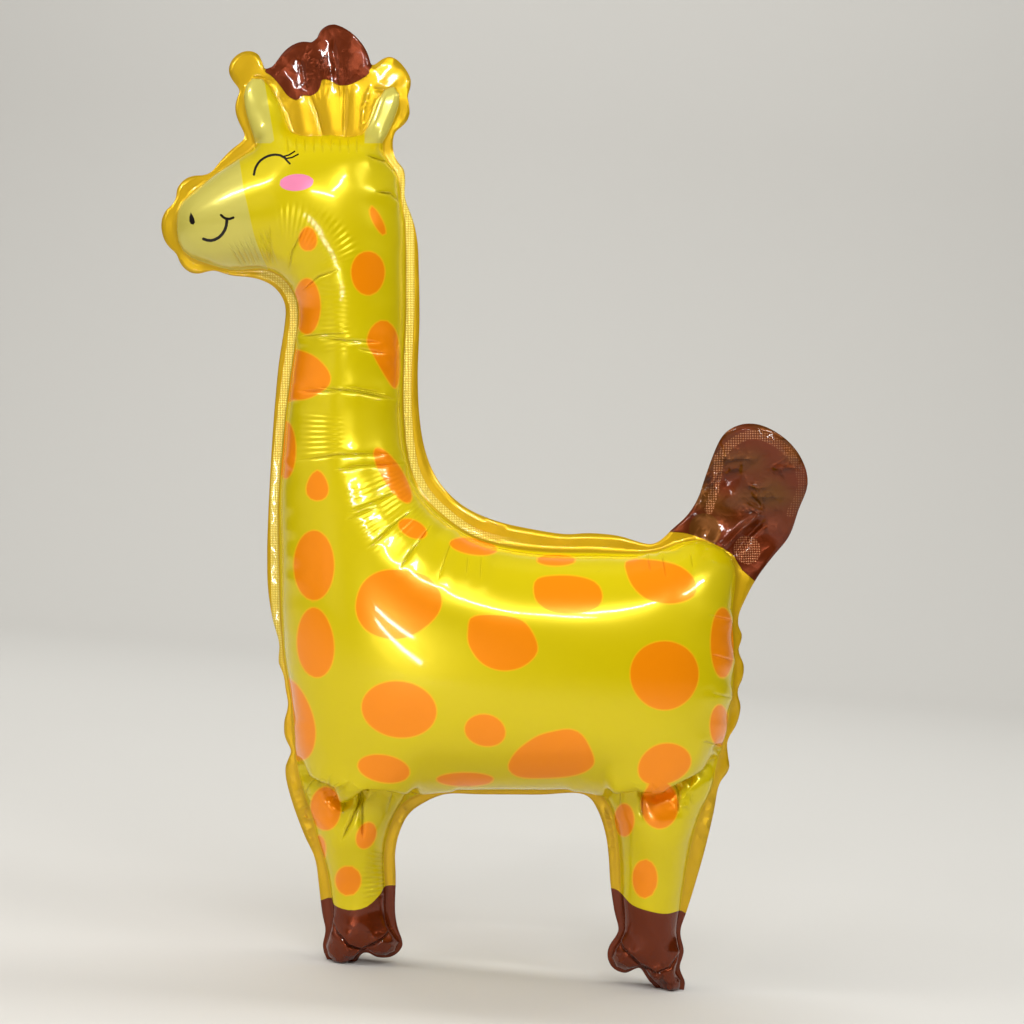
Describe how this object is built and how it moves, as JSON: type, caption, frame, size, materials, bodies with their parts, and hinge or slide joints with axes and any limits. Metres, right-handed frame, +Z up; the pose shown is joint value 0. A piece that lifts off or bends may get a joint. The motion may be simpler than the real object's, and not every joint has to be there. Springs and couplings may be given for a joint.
{
  "type": "giraffe balloon centerpiece",
  "caption": "Air-filled foil film giraffe that stands on its own hooves as a table centrepiece, with a flat welded seam, spotted print, hair tuft and tail flap.",
  "frame": {"origin": "centre of the bounding box at its base, on the table between the hooves", "axes": "+Z up, -X towards the muzzle, +X towards the tail, -Y towards the giraffe's left side, which the picture shows"},
  "size_m": [0.4136, 0.1188, 0.58],
  "materials": {
    "printed_film": "glossy metallised film, printed lemon yellow with orange spots and copper-brown hooves, tuft and tail"
  },
  "bodies": {
    "root": {"balloon": "printed_film"}
  },
  "joints": []
}
